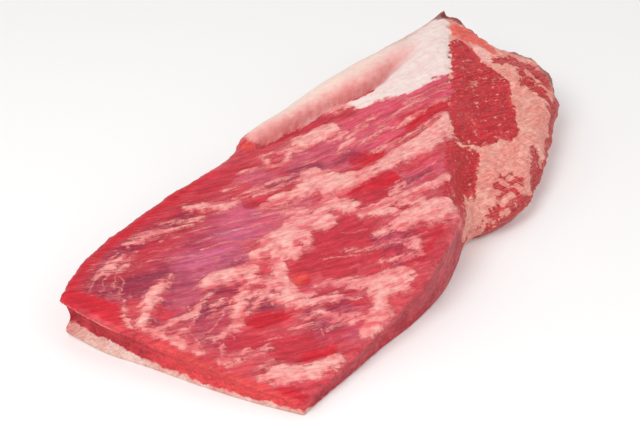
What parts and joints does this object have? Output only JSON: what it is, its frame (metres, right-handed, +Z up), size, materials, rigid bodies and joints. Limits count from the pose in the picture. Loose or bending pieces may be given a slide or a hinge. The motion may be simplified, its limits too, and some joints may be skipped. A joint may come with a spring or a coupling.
{
  "type": "beef brisket",
  "caption": "Raw whole beef brisket lying on its fat cap, rib side up, with the long flat muscle, a fat seam and the point muscle.",
  "frame": {"origin": "bottom of the fat cap, under the middle of the bounding box", "axes": "+X from the square-cut thin end to the thick point end, +Y to the side where the fat cap rolls up, +Z up out of the rib side"},
  "size_m": [0.5298, 0.2538, 0.0795],
  "materials": {
    "cap_fat": "soft white beef fat, slightly moist",
    "flat_lean": "moist raw lean with thin membrane and patches of pink fat",
    "seam_fat": "pink stringy seam fat, moist",
    "point_lean": "moist dark raw lean with fine marbling"
  },
  "bodies": {
    "root": {"fat_cap": "cap_fat", "flat_muscle": "flat_lean", "fat_seam": "seam_fat", "point_muscle": "point_lean"}
  },
  "joints": []
}
